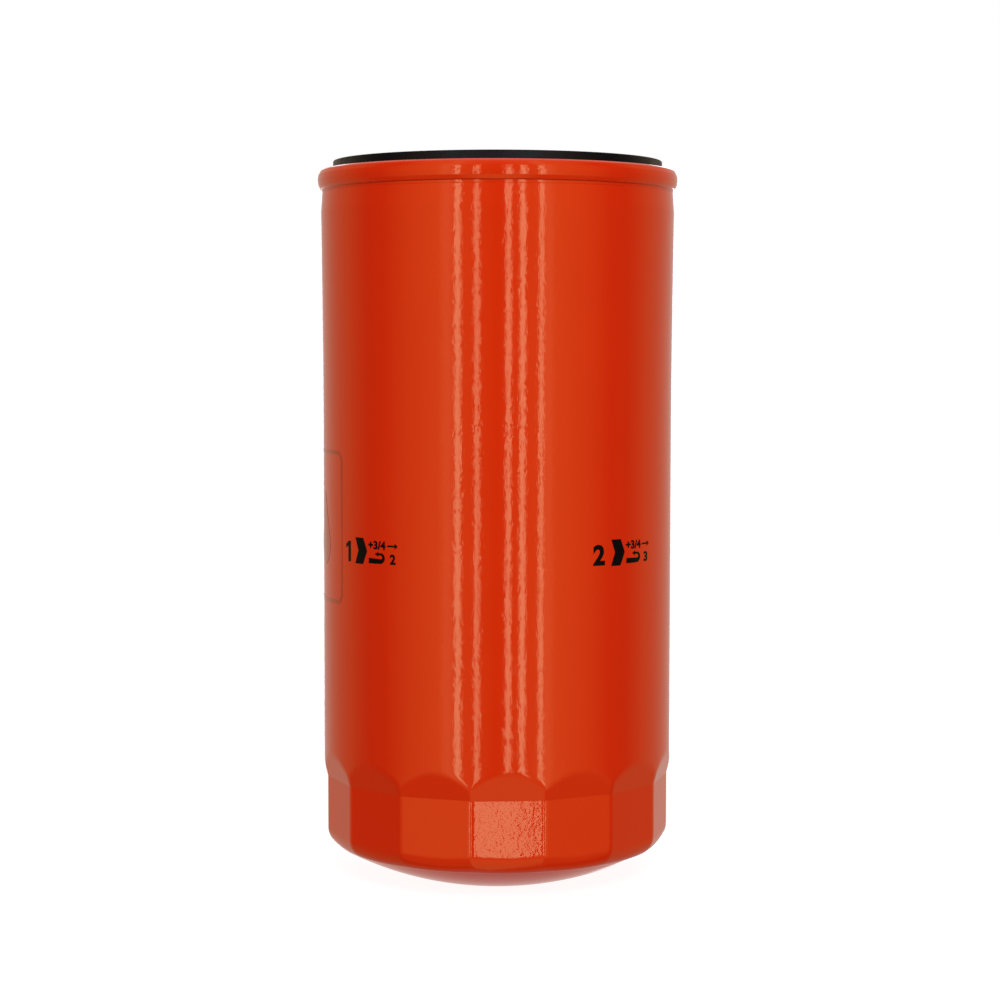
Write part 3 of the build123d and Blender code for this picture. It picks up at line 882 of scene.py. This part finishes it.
def make_label():
    """Generic printed panel without words: a frame, a drop and plain bars."""
    low = LABEL_FROM_DEG * DEGREE
    high = LABEL_TO_DEG * DEGREE
    shapes = [frame_band(low, high, LABEL_LOW_Z, LABEL_HIGH_Z, 2.5, 0.9)]
    drop_center = (high - 13.2, LABEL_LOW_Z + 14.5)
    drop = arc_points(drop_center, 5.2, -205, 25, 28)
    drop.append((drop_center[0], drop_center[1] + 14.0))
    shapes.append(polygon_shape(drop))
    bar_left = low + 3.5
    for index, length in enumerate(LABEL_BARS):
        v = LABEL_HIGH_Z - 6.0 - index * 5.6
        shapes.append(band([(bar_left, v), (bar_left + length, v)], [1.5, 1.5]))
    print_on_can("label_panel", shapes, LABEL_INK)


# ---------------------------------------------------------------- carried-over nodes

CARRIED = {
    "seam_compound": COMPOUND,
    "anti_drainback_valve": SILICONE,
    "element_seal": NITRILE,
    "element_top_cap": TINPLATE,
    "top_adhesive": ADHESIVE,
    "pleated_media": PAPER,
    "media_seam_clip": TINPLATE,
    "pleat_spacing_bands": HOT_MELT,
    "centre_tube": TINPLATE,
    "bottom_adhesive": ADHESIVE,
    "element_bottom_cap": TINPLATE,
    "bypass_cage": TINPLATE,
    "bypass_poppet": NYLON,
    "bypass_seal": NITRILE,
    "spring_retainer": TINPLATE,
}


def dress_carried_nodes():
    """CAD nodes that keep their shape get their finished materials."""
    for name, material in CARRIED.items():
        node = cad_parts[name]
        node.data.materials.clear()
        node.data.materials.append(material)


# ---------------------------------------------------------------- stage, light, camera

# Studio as the gloss sees it, in degrees round the can from -Y towards +X. Strip lights have an angle,
# half a width and a strength. The surround is the same on both sides: angle, level and share of blue.
STRIPS = [(-25.4, 1.9, 3.4), (-12.9, 1.7, 2.9), (7.2, 1.7, 3.4), (16.2, 1.8, 3.7), (28.2, 1.4, 3.1)]
STRIPS += [(-171.0, 1.6, 1.6), (173.5, 2.2, 1.9)]
STRIP_TINT = (1.1, 1.0, 1.2)
STRIP_ELEVATION = (-18.0, 20.0)
SURROUND = [(0, 0.1, 0.45), (12, 0.35, 0.45), (26, 0.5, 0.5)]  # dim gap where the camera stands
SURROUND += [(31, 1.1, 0.75), (34, 1.1, 0.7)]  # lit edge of a panel on either side
SURROUND += [(38, 0.7, 0.5), (60, 0.4, 0.45)]  # the panel falls off
SURROUND += [(78, 0.06, 0.8), (92, 0.06, 0.9)]  # dark flag abreast of the can
SURROUND += [(112, 0.35, 0.5), (145, 0.5, 0.75), (180, 0.55, 0.95)]  # wall behind
FRONT_FILL = 0.16
BACK_FILL = 0.95
GROUND_GLOSS = (0.65, 0.15)  # the table in front of the can, and to either side
GROUND_FILL = 0.4
OVERHEAD_GLOSS = 0.9
STRIP_EDGE_DEG = 3.0  # how softly the strips end, above and below
RED_SHARE = 1.25
TABLE_AHEAD_DEG = (15, 32)  # to either side, where the table's gloss falls from its first level to its second
TABLE_FRONT_DEG = (75, 55)
TABLE_BELOW_DEG = (-20.0, -32.0)
DIM_BELOW_DEG = (-20.0, -50.0)  # everything but the table fades downwards to DIM_LEVEL
DIM_LEVEL = 0.5
OVERHEAD_DEG = (45.0, 85.0)
TABLE_TINT = (1.0, 1.0, 0.55)
FLOOR_GLOW = 0.93
FLOOR_Z = -0.00005  # a hair under the foot, so that the two faces don't flicker
FLOOR_SIZE = 6.0
LENS = 88.54
CAMERA_PLACE = (0.00076, -0.6588, 0.14275)
CAMERA_TILT = 0.0635  # radians down from level
CAMERA_ROLL = 0.0013


def make_world():
    """Even soft light for the paint, the studio above for its gloss, and plain white for the eye."""
    world = bpy.data.worlds.new("studio")
    bpy.context.scene.world = world
    world.use_nodes = True
    world.cycles.sampling_method = "NONE"
    nodes = Nodes(world.node_tree)
    place = nodes.add("ShaderNodeTexCoord")
    split = nodes.add("ShaderNodeSeparateXYZ", {0: (place, "Generated")})
    back = nodes.math("MULTIPLY", (split, 1), -1.0)
    turn = nodes.math("ARCTAN2", (split, 0), back)
    degrees = nodes.math("DEGREES", turn)
    aside = nodes.math("DIVIDE", nodes.math("ABSOLUTE", degrees), 180.0)
    elevation = nodes.math("DEGREES", nodes.math("ARCSINE", (split, 2)))
    strips = 0.0
    for angle, half_width, strength in STRIPS:
        inside = nodes.math("COMPARE", degrees, angle, half_width)
        strips = nodes.math("MULTIPLY_ADD", inside, strength, strips)
    foot, top = STRIP_ELEVATION
    soft = STRIP_EDGE_DEG
    below_top = nodes.add("ShaderNodeMapRange", {0: elevation, 1: top + soft, 2: top - soft})
    above_foot = nodes.add("ShaderNodeMapRange", {0: elevation, 1: foot - soft, 2: foot + soft})
    window = nodes.math("MULTIPLY", (below_top, 0), (above_foot, 0))
    strips = nodes.math("MULTIPLY", strips, window)
    tinted = nodes.add("ShaderNodeVectorMath", {0: STRIP_TINT, "Scale": strips}, operation="SCALE")
    ramp = nodes.add("ShaderNodeValToRGB", {0: aside})
    stops = ramp.color_ramp.elements
    while len(stops) < len(SURROUND):
        stops.new(0.5)
    for stop, (angle, level, blue) in zip(stops, SURROUND):
        stop.position = angle / 180
        stop.color = (level * RED_SHARE, level, level * blue, 1)
    gloss = nodes.add("ShaderNodeVectorMath", {0: (ramp, 0), 1: (tinted, 0)}, operation="ADD")
    near, far = (angle / 180 for angle in TABLE_AHEAD_DEG)
    ahead = nodes.add(
        "ShaderNodeMapRange", {0: aside, 1: near, 2: far, 3: GROUND_GLOSS[0], 4: GROUND_GLOSS[1]}
    )
    table = nodes.add("ShaderNodeVectorMath", {0: TABLE_TINT, "Scale": (ahead, 0)}, operation="SCALE")
    from_deg, to_deg = DIM_BELOW_DEG
    dimmer = nodes.add("ShaderNodeMapRange", {0: elevation, 1: from_deg, 2: to_deg, 3: 1.0, 4: DIM_LEVEL})
    gloss = nodes.add("ShaderNodeVectorMath", {0: (gloss, 0), "Scale": (dimmer, 0)}, operation="SCALE")
    low = nodes.add("ShaderNodeMapRange", {0: elevation, 1: TABLE_BELOW_DEG[0], 2: TABLE_BELOW_DEG[1]})
    side, front = (angle / 180 for angle in TABLE_FRONT_DEG)
    frontal = nodes.add("ShaderNodeMapRange", {0: aside, 1: side, 2: front})
    gloss = nodes.add(
        "ShaderNodeMix",
        {0: nodes.math("MULTIPLY", (low, 0), (frontal, 0)), 6: (gloss, 0), 7: (table, 0)},
        data_type="RGBA",
    )
    overhead = nodes.add("ShaderNodeMapRange", {0: elevation, 1: OVERHEAD_DEG[0], 2: OVERHEAD_DEG[1]})
    gloss = nodes.add(
        "ShaderNodeMix",
        {0: (overhead, 0), 6: (gloss, 2), 7: colour(OVERHEAD_GLOSS, OVERHEAD_GLOSS, OVERHEAD_GLOSS)},
        data_type="RGBA",
    )
    fill = nodes.add("ShaderNodeMapRange", {0: (split, 1), 1: -0.3, 2: 0.6, 3: FRONT_FILL, 4: BACK_FILL})
    down = nodes.math("MAXIMUM", nodes.math("MULTIPLY", (split, 2), -GROUND_FILL), 0.0)
    fill = nodes.math("ADD", (fill, 0), down)
    path = nodes.add("ShaderNodeLightPath")
    seen = nodes.add("ShaderNodeMix", {0: (path, "Is Camera Ray"), 2: fill, 3: 1.0}, data_type="FLOAT")
    total = nodes.add(
        "ShaderNodeMix", {0: (path, "Is Glossy Ray"), 6: (seen, 0), 7: (gloss, 2)}, data_type="RGBA"
    )
    light = nodes.add("ShaderNodeBackground", {"Color": (total, 2), "Strength": 1.0})
    nodes.add("ShaderNodeOutputWorld", {"Surface": (light, 0)})


def soft_light(name, size, power, place, aim):
    """Square softbox that lights but isn't mirrored in the gloss."""
    data = bpy.data.lights.new(name, "AREA")
    data.size = size
    data.energy = power
    light = bpy.data.objects.new(name, data)
    bpy.context.scene.collection.objects.link(light)
    light.location = place
    light.rotation_euler = (Vector(aim) - Vector(place)).to_track_quat("-Z", "Y").to_euler()
    light.visible_glossy = False
    light.visible_camera = False


def make_floor():
    """Plain, evenly lit pale floor, clear from below so that the can's foot can be seen."""
    material = bpy.data.materials.new("pale_floor")
    material.use_nodes = True
    nodes = Nodes(material.node_tree)
    place = nodes.add("ShaderNodeTexCoord")
    speckle = nodes.add("ShaderNodeTexNoise", {"Vector": (place, "Object"), "Scale": 40.0})
    tone = nodes.add(
        "ShaderNodeMix",
        {0: (speckle, 0), 6: colour(0.15, 0.15, 0.15), 7: colour(0.17, 0.17, 0.17)},
        data_type="RGBA",
    )
    shader = nodes.add(
        "ShaderNodeBsdfPrincipled",
        {
            "Base Color": (tone, 2),
            "Roughness": 1.0,
            "Specular IOR Level": 0.0,
            "Emission Color": colour(1, 1, 1),
            "Emission Strength": FLOOR_GLOW,
        },
    )
    side = nodes.add("ShaderNodeNewGeometry")
    clear = nodes.add("ShaderNodeBsdfTransparent")
    one_sided = nodes.add("ShaderNodeMixShader", {0: (side, "Backfacing"), 1: (shader, 0), 2: (clear, 0)})
    nodes.add("ShaderNodeOutputMaterial", {"Surface": (one_sided, 0)})
    corners = [(x * FLOOR_SIZE, y * FLOOR_SIZE, FLOOR_Z) for x, y in ((-1, -1), (1, -1), (1, 1), (-1, 1))]
    mesh = bpy.data.meshes.new("floor")
    mesh.from_pydata(corners, [], [(0, 1, 2, 3)])
    mesh.materials.append(material)
    floor = bpy.data.objects.new("floor", mesh)
    bpy.context.scene.collection.objects.link(floor)
    floor.visible_glossy = False
    floor.visible_diffuse = False


def make_camera():
    """Long lens from a little above the middle of the can, looking slightly down."""
    data = bpy.data.cameras.new("camera")
    data.sensor_width = 36.0
    data.lens = LENS
    data.clip_start = 0.01
    camera = bpy.data.objects.new("camera", data)
    bpy.context.scene.collection.objects.link(camera)
    place = Matrix.Translation(CAMERA_PLACE)
    tilt = Matrix.Rotation(math.pi / 2 - CAMERA_TILT, 4, "X")
    roll = Matrix.Rotation(CAMERA_ROLL, 4, "Z")
    camera.matrix_world = place @ tilt @ roll
    bpy.context.scene.camera = camera


make_camera()
make_can()
make_lid()
make_weld_marks()
make_gasket()
make_tapping_plate()
make_springs()
make_turn_marks()
make_label()
dress_carried_nodes()
make_world()
make_floor()
soft_light("front_softbox", 0.5, 32.3, (0.13, -1.85, 1.05), (0, 0, 0.1))
bpy.context.scene.view_settings.view_transform = "Standard"
